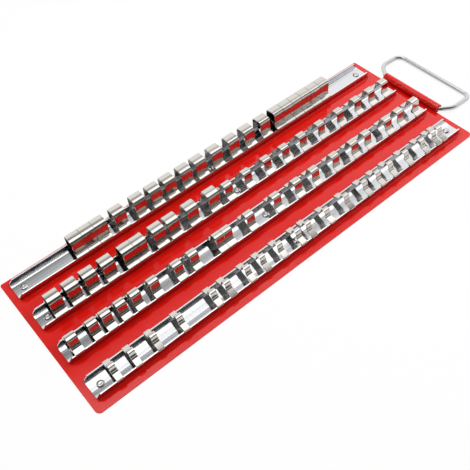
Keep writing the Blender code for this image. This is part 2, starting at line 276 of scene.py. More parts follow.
POWDER_COAT = powder_coat()
print("Made", POWDER_COAT.name)

# %% [markdown]
# ## Chrome and nickel
#
# The rails are rolled from chromed strip and shine like a mirror with fine lines along them. The
# handle's wire is chromed too, but duller. The clips are nickelled spring steel, which looks a
# little warmer, and the rivets are plain bright steel. All four are made by one function from their
# own colour, gloss and line direction.

# %% Materials: plated metals
DARK_LINE_SHARE = 0.90
HAZE_ROUGHNESS_RANGE = (0.0, 0.06)
LINE_DEPTH = 0.00005


def plated(name, colour, roughness, stretch, spacing, relief):
    """A plated metal with drawn lines in its colour, gloss and relief, and haze in its gloss."""
    material, tree, shader = new_material(name, colour, 1, roughness[0])
    place = add_node(tree, "ShaderNodeTexCoord").outputs["Object"]
    group = place_group(tree, DRAWN_LINES, place, stretch)
    group.inputs["Spacing"].default_value = spacing
    lines = group.outputs["Mask"]
    haze = place_group(tree, HANDLING, place).outputs["Haze"]
    darker = tuple(part * DARK_LINE_SHARE for part in colour)
    tree.links.new(mix_colours(tree, lines, darker, colour), shader.inputs["Base Color"])
    gloss = add_node(tree, "ShaderNodeMath", operation="ADD")
    tree.links.new(between(tree, lines, *roughness), gloss.inputs[0])
    tree.links.new(between(tree, haze, *HAZE_ROUGHNESS_RANGE), gloss.inputs[1])
    tree.links.new(gloss.outputs[0], shader.inputs["Roughness"])
    add_relief(tree, shader, lines, relief, LINE_DEPTH)
    return material


print("Drawn lines are up to", LINE_DEPTH * MM, "mm deep")

# %% [markdown]
# ## Four platings
#
# A small stretch along one direction makes the lines run that way: along X on the rails, along Y on
# the handle's bar, and round the strip on the clips. The rivets are pressed and not drawn, so their
# noise isn't stretched.

# %% The four platings
RAIL_CHROME = plated(
    "rail_chrome",
    colour=(0.70, 0.71, 0.73),
    roughness=(0.04, 0.10),
    stretch=(0.02, 1, 1),
    spacing=1800.0,
    relief=0.04,
)
WIRE_CHROME = plated(
    "wire_chrome",
    colour=(0.62, 0.62, 0.62),
    roughness=(0.22, 0.34),
    stretch=(1, 0.08, 1),
    spacing=1500.0,
    relief=0.15,
)
CLIP_NICKEL = plated(
    "clip_nickel",
    colour=(0.63, 0.60, 0.56),
    roughness=(0.05, 0.11),
    stretch=(1, 0.05, 0.05),
    spacing=2200.0,
    relief=0.02,
)
RIVET_STEEL = plated(
    "rivet_steel",
    colour=(0.56, 0.56, 0.56),
    roughness=(0.10, 0.22),
    stretch=(1, 1, 1),
    spacing=900.0,
    relief=0.20,
)
print("Made", ", ".join(m.name for m in (RAIL_CHROME, WIRE_CHROME, CLIP_NICKEL, RIVET_STEEL)))

# %% [markdown]
# ## Bent sheet metal
#
# A press bends a flat strip along a line. The script does the same in three moves: it joins a few
# corners with edges, rounds those corners with a vertex bevel, and draws the line out into a sheet.
# The line is the middle of the sheet's thickness, so both faces come out in the right place.

# %% Helpers for bent sheet
EDGE_ROUNDING = 0.00010
MERGE_DISTANCE = EDGE_ROUNDING / 10


def everything(bm):
    """All of a bmesh, as its operators want it."""
    return bm.verts[:] + bm.edges[:] + bm.faces[:]


def weld(bm):
    """Merges vertices that lie on each other."""
    bmesh.ops.remove_doubles(bm, verts=bm.verts[:], dist=MERGE_DISTANCE)


def face_outwards(bm):
    """Turns all faces to the same side, outwards on a closed form."""
    bmesh.ops.recalc_face_normals(bm, faces=bm.faces[:])


def round_corners(bm, corners, setbacks, segments):
    """Rounds each corner that has a setback."""
    for corner, setback in zip(corners, setbacks):
        if setback:
            bmesh.ops.bevel(
                bm,
                geom=[corner],
                offset=setback,
                offset_type="OFFSET",
                segments=segments,
                profile=0.5,
                affect="VERTICES",
                material=-1,
            )


def bent_line(bm, stops, segments):
    """Joins stops of (y, z, setback) with edges, and rounds the corners."""
    corners = [bm.verts.new((0, y, z)) for y, z, _ in stops]
    for before, after in zip(corners, corners[1:]):
        bm.edges.new((before, after))
    round_corners(bm, corners, [setback for _, _, setback in stops], segments)


def draw_out(bm, start, length):
    """Draws every edge out along X, from start, into a sheet of that length."""
    bmesh.ops.translate(bm, vec=(start, 0, 0), verts=bm.verts[:])
    drawn = bmesh.ops.extrude_edge_only(bm, edges=bm.edges[:])
    moved = [item for item in drawn["geom"] if isinstance(item, bmesh.types.BMVert)]
    bmesh.ops.translate(bm, vec=(length, 0, 0), verts=moved)
    face_outwards(bm)


print("Vertices closer than", MERGE_DISTANCE * MM, "mm are one")

# %% [markdown]
# ## From a mesh to a piece
#
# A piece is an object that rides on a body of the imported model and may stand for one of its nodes.
# Solidify gives a sheet its thickness and Bevel takes the sharpness off its cut edges. Both are
# modifiers, so the sheet itself stays simple. Weighted normals keep the flat faces looking flat.

# %% Helpers for pieces
EDGE_SEGMENTS = 2
SHARP_ANGLE = math.radians(50)


def new_object(bm, name, material):
    """Turns a bmesh into an object with a material."""
    mesh = bpy.data.meshes.new(name)
    bm.to_mesh(mesh)
    bm.free()
    mesh.materials.append(material)
    made = bpy.data.objects.new(name, mesh)
    bpy.context.scene.collection.objects.link(made)
    return made


def add_piece(bm, name, material, body, nodes=()):
    """A smooth piece that rides on a body and may stand for CAD nodes."""
    piece = new_object(bm, name, material)
    piece.data.shade_smooth()
    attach(piece, body)
    if nodes:
        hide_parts(*nodes)
    return piece


def round_edges(piece, rounding):
    """Bevels the sharp edges, and weights the normals by face area."""
    edge = piece.modifiers.new("rounded edges", "BEVEL")
    edge.width = rounding
    edge.segments = EDGE_SEGMENTS
    edge.limit_method = "ANGLE"
    edge.angle_limit = SHARP_ANGLE
    piece.modifiers.new("flat faces", "WEIGHTED_NORMAL")


def give_thickness(piece, thickness, rounding=EDGE_ROUNDING):
    """Thickens a sheet about its middle, and rounds its cut edges."""
    solid = piece.modifiers.new("thickness", "SOLIDIFY")
    solid.thickness = thickness
    solid.offset = 0
    solid.use_even_offset = True
    round_edges(piece, rounding)


print("Cut edges are rounded by", EDGE_ROUNDING * MM, "mm")

# %% [markdown]
# ## The tray's blank
#
# The tray is one flat sheet, cut with rounded corners and with a tab on its right edge. A single
# face with eight corners is enough for it, and a vertex bevel rounds the four outer ones. The tab
# ends where its roll begins, straight below the handle's axis.

# %% Tray blank
TRAY_HALF_LENGTH = 0.215
TRAY_HALF_WIDTH = 0.0775
TRAY_MIDDLE_Z = TRAY_SHEET * HALF
FRONT_CORNER = 0.0045
BACK_CORNER = 0.0020
CORNER_SEGMENTS = 6
EYE_HALF_LENGTH = 0.035
EYE_MIDDLE_Y = 0.0013
HINGE_X = 0.218
HINGE_Z = 0.00405


def tray_blank(bm):
    """The flat outline as one face, its four outer corners rounded."""
    left, right = -TRAY_HALF_LENGTH, TRAY_HALF_LENGTH
    front, back = -TRAY_HALF_WIDTH, TRAY_HALF_WIDTH
    near, far = EYE_MIDDLE_Y - EYE_HALF_LENGTH, EYE_MIDDLE_Y + EYE_HALF_LENGTH
    plan = (
        (left, front, FRONT_CORNER),
        (right, front, FRONT_CORNER),
        (right, near, 0),
        (HINGE_X, near, 0),
        (HINGE_X, far, 0),
        (right, far, 0),
        (right, back, BACK_CORNER),
        (left, back, BACK_CORNER),
    )
    corners = [bm.verts.new((x, y, TRAY_MIDDLE_Z)) for x, y, _ in plan]
    bm.faces.new(corners)
    round_corners(bm, corners, [radius for _, _, radius in plan], CORNER_SEGMENTS)


tray = bmesh.new()
tray_blank(tray)
print("Tray blank:", len(tray.verts), "corners")

# %% [markdown]
# ## Holes for the rivets
#
# The rivets come through round holes in the tray. A hole could be cut with a boolean, but that
# leaves ragged faces. Here the sheet is split along planes on both sides of each rivet, the small
# square window between them is taken out, and its edges are bridged to a ring of vertices.

# %% Rivet holes in the blank
RIVET_SHARES = (0.0213, 0.5050, 0.9787)
RIVET_HOLE = 0.0026
WINDOW = 0.0045
HOLE_SIDES = 24
PLANE_DIGITS = 6
ALONG = Vector((1, 0, 0))
ACROSS = Vector((0, 1, 0))


def rivet_places():
    """The plan position of each rivet."""
    for rail in RAIL_NAMES:
        for share in RIVET_SHARES:
            yield RAIL_LENGTH * share - RAIL_LENGTH * HALF, RAIL_MIDDLES[rail]


def cut_across(bm, places, direction, chosen=everything):
    """Splits the chosen faces along planes through the places, square to the direction."""
    for place in places:
        bmesh.ops.bisect_plane(
            bm, geom=chosen(bm), plane_co=place * direction, plane_no=direction
        )


def window_planes(middles):
    """Both sides of each window, without repeats."""
    return sorted({round(m + side * WINDOW, PLANE_DIGITS) for m in middles for side in (-1, 1)})


def open_rivet_holes(bm):
    """Cuts a square window at each rivet and bridges it to a round hole."""
    spots = list(rivet_places())
    cut_across(bm, window_planes(x for x, _ in spots), ALONG)
    cut_across(bm, window_planes(y for _, y in spots), ACROSS)
    for x, y in spots:
        spot = Vector((x, y, TRAY_MIDDLE_Z))
        window = min(bm.faces, key=lambda face: (face.calc_center_median() - spot).length)
        frame_edges = list(window.edges)
        bmesh.ops.delete(bm, geom=[window], context="FACES_ONLY")
        ring = bmesh.ops.create_circle(
            bm, segments=HOLE_SIDES, radius=RIVET_HOLE, matrix=Matrix.Translation(spot)
        )
        ring_edges = list({edge for vert in ring["verts"] for edge in vert.link_edges})
        bmesh.ops.bridge_loops(bm, edges=frame_edges + ring_edges)


open_rivet_holes(tray)
print("Tray blank:", len(tray.faces), "faces,", len(list(rivet_places())), "rivet holes")

# %% [markdown]
# ## The eye
#
# The tab is rolled up and over into the eye that the handle turns in. A spin of the tab's outer
# edges about the handle's axis makes the roll in one move. It stops short of a full turn, which
# leaves a slot along the tray, as rolled eyes have.

# %% Tray eye, rolled from the tab
EYE_TURN = math.radians(284)
EYE_STEPS = 56


def roll_eye(bm):
    """Spins the tab's outer edges about the hinge axis."""
    tab_edges = [
        edge for edge in bm.edges if all(abs(v.co.x - HINGE_X) < EDGE_ROUNDING for v in edge.verts)
    ]
    ends = list({vert for edge in tab_edges for vert in edge.verts})
    bmesh.ops.spin(
        bm,
        geom=tab_edges + ends,
        cent=(HINGE_X, 0, HINGE_Z),
        axis=(0, -1, 0),
        angle=EYE_TURN,
        steps=EYE_STEPS,
    )
    weld(bm)


roll_eye(tray)
print("Eye rolled through", round(math.degrees(EYE_TURN)), "degrees")

# %% [markdown]
# ## Crimp marks
#
# Four small dents on the roll pinch it round the wire. They are real hollows in the sheet, so they
# catch the light from any side. The roll is split finely near each mark, and the vertices there are
# moved towards the axis by a bell curve.

# %% Crimp marks on the eye, and the finished tray
# Each mark is given by its angle about the axis in degrees, and by its y
CRIMP_MARKS = ((152, 0.0220), (144, 0.0137), (152, -0.0186), (170, -0.0257))
CRIMP_LENGTH = 0.0022
CRIMP_WIDTH = 0.0011
CRIMP_DEPTH = 0.00058
CRIMP_REACH = 4 * CRIMP_LENGTH
CRIMP_CUTS = 12
TRAY_EDGE_ROUNDING = 0.00022


def eye_faces(bm):
    """The rolled part of the sheet, with its edges and vertices."""
    chosen = [face for face in bm.faces if face.calc_center_median().z > TRAY_SHEET]
    edges = {edge for face in chosen for edge in face.edges}
    verts = {vert for face in chosen for vert in face.verts}
    return list(verts) + list(edges) + chosen


def press_crimp_marks(bm):
    """Moves the roll's skin towards the axis in small ovals."""
    steps = range(-CRIMP_CUTS // 2, CRIMP_CUTS // 2 + 1)
    places = [y + CRIMP_REACH * step / CRIMP_CUTS for _, y in CRIMP_MARKS for step in steps]
    cut_across(bm, sorted(places), ACROSS, eye_faces)
    for vert in bm.verts:
        out = Vector((vert.co.x - HINGE_X, 0, vert.co.z - HINGE_Z))
        if out.length < EDGE_ROUNDING or vert.co.z < TRAY_SHEET:
            continue
        angle = math.degrees(math.atan2(out.z, out.x)) % 360
        for mark_angle, mark_y in CRIMP_MARKS:
            around = math.radians(angle - mark_angle) * out.length / CRIMP_WIDTH
            along = (vert.co.y - mark_y) / CRIMP_LENGTH
            depth = CRIMP_DEPTH * math.exp(-(around**2 + along**2))
            vert.co -= out.normalized() * depth


press_crimp_marks(tray)
face_outwards(tray)
tray_piece = add_piece(tray, "tray_sheet", POWDER_COAT, "tray", ["tray"])
give_thickness(tray_piece, TRAY_SHEET, TRAY_EDGE_ROUNDING)
print("Pressed", len(CRIMP_MARKS), "crimp marks into", tray_piece.name)

# %% [markdown]
# ## The rails' section
#
# Each rail is a channel of thin strip whose walls turn outwards at the top into narrow lips, which
# the clips hold on to. Rolling leaves small faults that a mirror finish gives away, so they are
# modelled: the lips slope down a little, and the floor is slightly hollow, has shallow ribs and
# rises at its edges. Half of the section is bent as a line and then mirrored.

# %% Section of a rail
LIP_WIDTH = 0.0007
LIP_DROP = 0.0002
LIP_BEND = 0.00040
FLOOR_BEND = 0.00145
FLOOR_RISE = 0.00040
FLOOR_RISE_POWER = 5
FLOOR_SAG = 0.00015
FLOOR_STEPS = 24
RIB_HEIGHT = 0.000006
RIB_PITCH = 0.0031
RAIL_BEND_SEGMENTS = 6


def mirror_line(bm):
    """Mirrors a half line about the middle and joins the two halves there."""
    bmesh.ops.mirror(bm, geom=everything(bm), axis="Y", merge_dist=MERGE_DISTANCE)
    weld(bm)


def rail_line(bm):
    """The rail's section: lip, wall and floor."""
    wall = RAIL_WIDTH * HALF - LIP_WIDTH - RAIL_SHEET * HALF
    lip_z = RAIL_HEIGHT - RAIL_SHEET * HALF
    floor_z = RAIL_SHEET * HALF
    stops = [
        (RAIL_WIDTH * HALF, lip_z - LIP_DROP, 0),
        (wall, lip_z, LIP_BEND),
        (wall, floor_z + FLOOR_RISE, FLOOR_BEND),
    ]
    flat = wall - FLOOR_BEND
    for step in range(FLOOR_STEPS - 1, -1, -1):
        share = step / FLOOR_STEPS
        hollow = FLOOR_RISE * share**FLOOR_RISE_POWER - FLOOR_SAG * (1 - share**2)
        rib = RIB_HEIGHT * math.cos(FULL_TURN * flat * share / RIB_PITCH)
        stops.append((flat * share, floor_z + hollow + rib, 0))
    bent_line(bm, stops, RAIL_BEND_SEGMENTS)
    mirror_line(bm)


rail_test = bmesh.new()
rail_line(rail_test)
rail_strip = sum(edge.calc_length() for edge in rail_test.edges)
rail_test.free()
print("A rail is a strip", round(rail_strip * MM, 1), "mm wide")

# %% [markdown]
# ## The rails
#
# The section is drawn out along the tray. At both ends the upper corner of the walls is rounded
# off, with a few straight cuts that touch the round, as a grinder would do it. All four rails are
# the same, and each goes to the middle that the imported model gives.

# %% Rails
RAIL_END_RADIUS = 0.0058
RAIL_END_CUTS = 7


def round_rail_ends(bm):
    """Cuts the upper corners at both ends with planes that touch a round."""
    reach = RAIL_LENGTH * HALF - RAIL_END_RADIUS
    top = RAIL_HEIGHT - RAIL_END_RADIUS
    for side in (-1, 1):
        for step in range(RAIL_END_CUTS):
            angle = QUARTER_TURN * (step + HALF) / RAIL_END_CUTS
            out = Vector((side * math.cos(angle), 0, math.sin(angle)))
            on_round = Vector((side * reach, 0, top)) + out * RAIL_END_RADIUS
            bmesh.ops.bisect_plane(
                bm, geom=everything(bm), plane_co=on_round, plane_no=out, clear_outer=True
            )


for rail_name in RAIL_NAMES:
    rail = bmesh.new()
    rail_line(rail)
    draw_out(rail, -RAIL_LENGTH * HALF, RAIL_LENGTH)
    round_rail_ends(rail)
    bmesh.ops.translate(rail, vec=(0, RAIL_MIDDLES[rail_name], RAIL_BASE), verts=rail.verts[:])
    piece = add_piece(rail, rail_name + "_channel", RAIL_CHROME, "tray", [rail_name])
    give_thickness(piece, RAIL_SHEET)
print("Made", len(RAIL_NAMES), "rails")

# %% [markdown]
# ## The rivets
#
# A rivet's broad head is low and domed, with a slight dish in its middle, and lies on the rail's
# floor. Its tail fills the hole in the tray's underside. Round things are turned: half of the
# section is spun about its middle. Every rivet is the same, moved to its own place.

# %% Rivets
# Stops of (radius, height, setback), from the middle of the tail to the middle of the head
RIVET_STOPS = (
    (0.0, 0.0002, 0),
    (0.0023, 0.0002, 0.0002),
    (0.0015, 0.0011, 0),
    (0.0015, 0.00205, 0),
    (0.0034, 0.00205, 0),
    (0.0034, 0.00245, 0.0002),
    (0.0026, 0.00300, 0.0003),
    (0.0016, 0.00335, 0.0003),
    (0.0009, 0.00315, 0.0002),
    (0.0, 0.00310, 0),
)
RIVET_BEND_SEGMENTS = 3
RIVET_STEPS = 32


def turn_rivet(bm):
    """Spins the rivet's half section about the upright axis."""
    bent_line(bm, RIVET_STOPS, RIVET_BEND_SEGMENTS)
    bmesh.ops.spin(
        bm,
        geom=bm.verts[:] + bm.edges[:],
        cent=(0, 0, 0),
        axis=(0, 0, 1),
        angle=FULL_TURN,
        steps=RIVET_STEPS,
        use_merge=True,
    )
    weld(bm)
    face_outwards(bm)


for number, (x, y) in enumerate(rivet_places()):
    rivet = bmesh.new()
    turn_rivet(rivet)
    bmesh.ops.translate(rivet, vec=(x, y, 0), verts=rivet.verts[:])
    rail_name = RAIL_NAMES[number // len(RIVET_SHARES)]
    rivet_name = f"{rail_name}_rivet_{number % len(RIVET_SHARES) + 1}"
    add_piece(rivet, rivet_name, RIVET_STEEL, "tray")
print("Made", len(RAIL_NAMES) * len(RIVET_SHARES), "rivets")

# %% [markdown]
# ## The clips' legs
#
# A clip is one strip of spring steel. Two hooks hold the rail's lips from below, and two sloping
# feet lie on them. Between the feet the strip rises into a head whose walls lean. These slopes
# decide what the bright metal mirrors, so they matter more to the look than the finish does. There
# are three sizes, for the three common square drives.

# %% Sizes and legs of a clip
CLIP_GAP = 0.0003
HALF_STRIP = CLIP_STRIP * HALF
HOOK_REACH = 0.00035
HOOK_BEND = 0.00040
THROAT_BEND = 0.0010
THROAT_SETBACK = 0.0006
FOOT_SLOPE = math.radians(13.8)
WALL_LEAN = 0.4
WALL_STEPS = 6
# Width along the rail, half widths of the throat and of the head, shoulder radius, roof height
SIZES = {
    "half_inch": dict(width=0.0122, base=0.0062, side=0.0063, corner=0.0030, roof=0.0168),
    "three_eighth": dict(width=0.0090, base=0.0050, side=0.0040, corner=0.0018, roof=0.0128),
    "quarter_inch": dict(width=0.0060, base=0.0033, side=0.0024, corner=0.0011, roof=0.0093),
}


def leg_stops(base, side, wall_top):
    """Stops of the hook, the foot, the throat and the leaning wall. Heights are above the lips."""
    leg = RAIL_WIDTH * HALF + CLIP_GAP + HALF_STRIP
    above = CLIP_GAP + HALF_STRIP
    below = -(RAIL_SHEET + CLIP_GAP + HALF_STRIP)
    foot = base + THROAT_BEND
    foot_z = above + (leg - foot) * math.tan(FOOT_SLOPE)
    throat_z = foot_z + THROAT_BEND
    stops = [
        (RAIL_WIDTH * HALF - HOOK_REACH, below, 0),
        (leg, below, HOOK_BEND),
        (leg, above, HOOK_BEND),
        (foot, foot_z, THROAT_SETBACK),
        (base, throat_z, THROAT_SETBACK),
    ]
    for step in range(1, WALL_STEPS + 1):
        share = (step + HALF) / (WALL_STEPS + HALF)
        lean = (side - base) * (WALL_LEAN * share + (1 - WALL_LEAN) * share**2)
        stops.append((base + lean, throat_z + (wall_top - throat_z) * share, 0))
    return stops


print("Clip widths in mm:", [round(size["width"] * MM, 1) for size in SIZES.values()])

# %% [markdown]
# ## The clips' heads
#
# The wall ends in a round shoulder and a roof that is slightly arched. A shoulder is a spun vertex,
# which gives an even round whatever its size, and the roof is an edge that is cut and then bent.
# Half of the strip is made this way and mirrored, as for the rails.

# %% Section of a clip
SHOULDER_STEPS = 7
ROOF_TILT = math.radians(12)
ROOF_CUTS = 5
CLIP_BEND_SEGMENTS = 5


def arch_roof(bm, shoulder, roof_z, roof_edge, roof_drop):
    """Joins the shoulder to the middle of the roof, and bends that edge into an arch."""
    edge = bm.edges.new((shoulder, bm.verts.new((0, 0, roof_z))))
    cut = bmesh.ops.subdivide_edges(bm, edges=[edge], cuts=ROOF_CUTS)
    for vert in cut["geom_inner"]:
        if isinstance(vert, bmesh.types.BMVert):
            vert.co.z = roof_z - roof_drop * (vert.co.y / roof_edge) ** 2


def clip_line(bm, size):
    """Half of the strip's line is bent and mirrored."""
    side = size["side"] - HALF_STRIP
    corner = size["corner"] - HALF_STRIP
    roof_z = size["roof"] - HALF_STRIP
    roof_edge = side - corner + corner * math.sin(ROOF_TILT)
    roof_drop = roof_edge * math.tan(ROOF_TILT) * HALF
    wall_top = roof_z - roof_drop - corner * math.cos(ROOF_TILT)
    bent_line(bm, leg_stops(size["base"] - HALF_STRIP, side, wall_top), CLIP_BEND_SEGMENTS)
    shoulder = bmesh.ops.spin(
        bm,
        geom=[bm.verts.new((0, side, wall_top))],
        cent=(0, side - corner, wall_top),
        axis=(1, 0, 0),
        angle=QUARTER_TURN - ROOF_TILT,
        steps=SHOULDER_STEPS,
    )
    arch_roof(bm, shoulder["geom_last"][0], roof_z, roof_edge, roof_drop)
    weld(bm)
    mirror_line(bm)


clip_test = bmesh.new()
clip_line(clip_test, SIZES["half_inch"])
clip_strip = sum(edge.calc_length() for edge in clip_test.edges)
clip_test.free()
print("A half-inch clip is a strip", round(clip_strip * MM, 1), "mm long")

# %% [markdown]
# ## Clips on their rail
#
# No two real clips sit quite alike, and in a mirror finish that shows at once. So each one is
# rolled about its rail by a hair, by an amount that depends on its place and is the same on every
# run. Clips are drawn out one by one and joined in one mesh where a run of them is one piece.

# %% Helpers for clips on a rail
CLIP_ROLL = math.radians(0.7)
ROLL_CHANGE = 700.0


def add_clip(bm, size, start, width):
    """Draws one clip out from start, a touch askew, in a bmesh that may already hold others."""
    one = bmesh.new()
    clip_line(one, size)
    draw_out(one, start, width)
    turn = Matrix.Rotation(CLIP_ROLL * math.sin(start * ROLL_CHANGE), 3, "X")
    bmesh.ops.rotate(one, cent=(0, 0, 0), matrix=turn, verts=one.verts[:])
    mesh = bpy.data.meshes.new("one clip")
    one.to_mesh(mesh)
    one.free()
    bm.from_mesh(mesh)
    bpy.data.meshes.remove(mesh)


def place_clips(rail_name, size, starts, width, name, body, nodes=()):
    """Makes a piece of the clips that start at the given places on a rail."""
    clips = bmesh.new()
    for start in starts:
        add_clip(clips, size, start, width)
    bmesh.ops.translate(clips, vec=(0, RAIL_MIDDLES[rail_name], LIP_TOP), verts=clips.verts[:])
    piece = add_piece(clips, name, CLIP_NICKEL, body, nodes)
    give_thickness(piece, CLIP_STRIP)


print("Clips are askew by up to", round(math.degrees(CLIP_ROLL), 1), "degrees")

# %% [markdown]
# ## Clips that slide
#
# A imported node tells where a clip, or a run of touching clips, lies along its rail. Clips in a run
# are separate strips with a hair's width between them, as on the real rails.

# %% Clips that slide
RUN_GAP = 0.00030

clip_total = 0
for node in sorted(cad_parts):
    if "_clip_" not in node:
        continue
    rail_name = next(name for name in RAIL_NAMES if node.startswith(name))
    size = next(value for label, value in SIZES.items() if label in node)
    width = size["width"]
    low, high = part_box(node)
    count = round((high.x - low.x) / width)
    starts = [low.x + place * width + RUN_GAP * HALF for place in range(count)]
    spring_name = node.replace("_clip_", "_spring_")
    place_clips(rail_name, size, starts, width - RUN_GAP, spring_name, node, [node])
    clip_total += count
print("Sliding clips:", clip_total)

# %% [markdown]
# ## Clips that are part of the front rail
#
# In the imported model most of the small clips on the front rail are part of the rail's own solid, so
# no node gives their places. They are given here by the bare rail before each clip, as a share of
# all the rail that no clip covers, and the row goes on from the last clip that slides.

# %% Clips that are part of the front rail
SEATED_GAP_SHARES = (
    (0.0935, 0.0276, 0.0514, 0.0345, 0.0444, 0.0500, 0.0205, 0.0542)
    + (0.0599, 0.0584, 0.0374, 0.0345, 0.0500, 0.0556, 0.0332, 0.0079)
)
FRONT_RAIL_CLIPS = 20
LAST_SLIDING_CLIP = "rail_4_quarter_inch_clip_04"

small = SIZES["quarter_inch"]
bare = RAIL_LENGTH - FRONT_RAIL_CLIPS * small["width"]
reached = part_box(LAST_SLIDING_CLIP)[1].x
for number, share in enumerate(SEATED_GAP_SHARES, start=1):
    start = reached + bare * share
    reached = start + small["width"]
    spring_name = f"rail_4_seated_spring_{number:02d}"
    place_clips("rail_4", small, [start], small["width"], spring_name, "tray")
print("Clips on the front rail's own solid:", len(SEATED_GAP_SHARES))

# %% [markdown]
# ## The handle's bends
#
# The handle is one wire, bent in a jig: push it forward, bend it, push again. So its form is given
# as a list of moves and not as points. The two ends differ a little, as bent by hand.

# %% Moves of the wire
WIRE_RADIUS = 0.00224
BAIL_REACH = 0.038
MOUTH_BEND = 0.0054
MOUTH_DEPTH = 0.0018
END_GAP = 0.004
NEAR_END = {"arm": 0.0437, "mouth": math.radians(57), "bend": 0.016, "corner": 0.007}
FAR_END = {"arm": 0.0497, "mouth": math.radians(38), "bend": 0.012, "corner": 0.009}


def end_moves(end):
    """Straight runs and bends (length, radius, angle) from the middle of the eye to the corner."""
    inside = EYE_HALF_LENGTH - MOUTH_DEPTH
    mouth, bend, corner = end["mouth"], end["bend"], end["corner"]
    out_x = MOUTH_BEND * (1 - math.cos(mouth))
    out_y = inside + MOUTH_BEND * math.sin(mouth)
    rise = end["arm"] - bend * (1 - math.sin(mouth)) - out_y
    arm_x = out_x + rise * math.tan(mouth) + bend * math.cos(mouth)
    return [
        (inside - END_GAP * HALF, MOUTH_BEND, mouth),
        (rise / math.cos(mouth), bend, QUARTER_TURN - mouth),
        (BAIL_REACH - corner - arm_x, corner, QUARTER_TURN),
    ]


near_moves, far_moves = end_moves(NEAR_END), end_moves(FAR_END)
print("The wire is bent", len(near_moves) + len(far_moves), "times")

# %% [markdown]
# ## The handle
#
# The script bends the wire as the jig does. It starts from a disc, extrudes it for each straight
# run and spins it for each bend. A copy of the first disc stays behind as the wire's end. Both ends
# meet inside the eye, where the wire turns, and last the handle is let down on the bench.

# %% Handle
WIRE_SIDES = 32
BEND_STEP = math.radians(6)
FEWEST_BEND_STEPS = 3


def push(bm, disc, heading, length):
    """Extrudes the disc straight on."""
    pushed = bmesh.ops.extrude_discrete_faces(bm, faces=[disc])["faces"][0]
    bmesh.ops.translate(bm, vec=heading * length, verts=pushed.verts[:])
    return pushed


def bend_wire(bm, disc, heading, radius, angle):
    """Spins the disc round a centre on the tray's side, and returns it with its new heading."""
    inward = Vector((-heading.y, heading.x, 0))
    centre = disc.calc_center_median() + inward * radius
    steps = max(FEWEST_BEND_STEPS, math.ceil(angle / BEND_STEP))
    bent = bmesh.ops.spin(
        bm, geom=[disc], cent=centre, axis=(0, 0, 1), angle=angle, steps=steps
    )
    bmesh.ops.delete(bm, geom=[disc], context="FACES_ONLY")
    last = next(item for item in bent["geom_last"] if isinstance(item, bmesh.types.BMFace))
    return last, Matrix.Rotation(angle, 3, "Z") @ heading


def bend_handle(bm):
    """Bends the whole wire flat, from end to end, and returns its last disc."""
    start = Matrix.Translation((0, -END_GAP * HALF, 0)) @ Matrix.Rotation(QUARTER_TURN, 4, "X")
    bmesh.ops.create_circle(
        bm, cap_ends=True, segments=WIRE_SIDES, radius=WIRE_RADIUS, matrix=start
    )
    disc = bm.faces[:][0]
    bmesh.ops.duplicate(bm, geom=[disc])
    heading = Vector((0, -1, 0))
    for length, radius, angle in near_moves:
        disc = push(bm, disc, heading, length)
        disc, heading = bend_wire(bm, disc, heading, radius, angle)
    bar = NEAR_END["arm"] - NEAR_END["corner"] + FAR_END["arm"] - FAR_END["corner"]
    disc = push(bm, disc, heading, bar)
    for length, radius, angle in reversed(far_moves):
        disc, heading = bend_wire(bm, disc, heading, radius, angle)
        disc = push(bm, disc, heading, length)
    return disc


wire = bmesh.new()
wire_end = bend_handle(wire)
print("Handle closes to", round(wire_end.calc_center_median().y * MM, 2), "mm from the middle")
weld(wire)
face_outwards(wire)
droop = Matrix.Rotation(math.asin((HINGE_Z - WIRE_RADIUS) / BAIL_REACH), 4, "Y")
bmesh.ops.transform(wire, matrix=droop, verts=wire.verts[:])
bmesh.ops.translate(wire, vec=(HINGE_X, EYE_MIDDLE_Y, HINGE_Z), verts=wire.verts[:])
handle = add_piece(wire, "handle_wire", WIRE_CHROME, "bail", ["bail"])
round_edges(handle, EDGE_ROUNDING)

# %% [markdown]
# ## The table
#
# The tray lies on a pale table. A product photograph shows it as pure white, and more light would
# bleach the object too. So the table glows for the camera and in reflections, and stays an ordinary
# pale surface for all other light. A tenth of that surface is always mixed in, which keeps a soft
# shadow.

# %% Floor
FLOOR_SIZE = 6.0
FLOOR_GAP = 0.0002
FLOOR_GREY = 0.86
FLOOR_ROUGHNESS = 0.9
FLOOR_GLOW = 1.0
FLOOR_GLOW_SHARE = 0.90


def floor_material():
    """White to the camera and to reflections, while it still takes a soft shadow."""
    material, tree, shader = new_material("table_white", grey(FLOOR_GREY), 0, FLOOR_ROUGHNESS)
    glow = add_node(tree, "ShaderNodeEmission", Strength=FLOOR_GLOW)
    path = add_node(tree, "ShaderNodeLightPath")
    seen = add_node(tree, "ShaderNodeMath", operation="MAXIMUM")
    share = add_node(tree, "ShaderNodeMath", operation="MULTIPLY")
    share.inputs[1].default_value = FLOOR_GLOW_SHARE
    mix = add_node(tree, "ShaderNodeMixShader")
    tree.links.new(path.outputs["Is Camera Ray"], seen.inputs[0])
    tree.links.new(path.outputs["Is Glossy Ray"], seen.inputs[1])
    tree.links.new(seen.outputs[0], share.inputs[0])
    tree.links.new(share.outputs[0], mix.inputs["Fac"])
    tree.links.new(shader.outputs[0], mix.inputs[1])
    tree.links.new(glow.outputs[0], mix.inputs[2])
    tree.links.new(mix.outputs[0], tree.nodes["Material Output"].inputs["Surface"])
    return material


floor_mesh = bmesh.new()
bmesh.ops.create_grid(floor_mesh, x_segments=1, y_segments=1, size=FLOOR_SIZE * HALF)
bmesh.ops.translate(floor_mesh, vec=(0, 0, -FLOOR_GAP), verts=floor_mesh.verts[:])
floor = new_object(floor_mesh, "floor", floor_material())
print("Floor lies", FLOOR_GAP * MM, "mm below the tray")

# %% [markdown]
# ## The camera
#
# The camera stands where the photograph was taken from. Its place and its two directions were
# solved from the tray's corners and the rails' ends. The right direction is squared to the one
# ahead, and the two with their cross product make the camera's matrix.

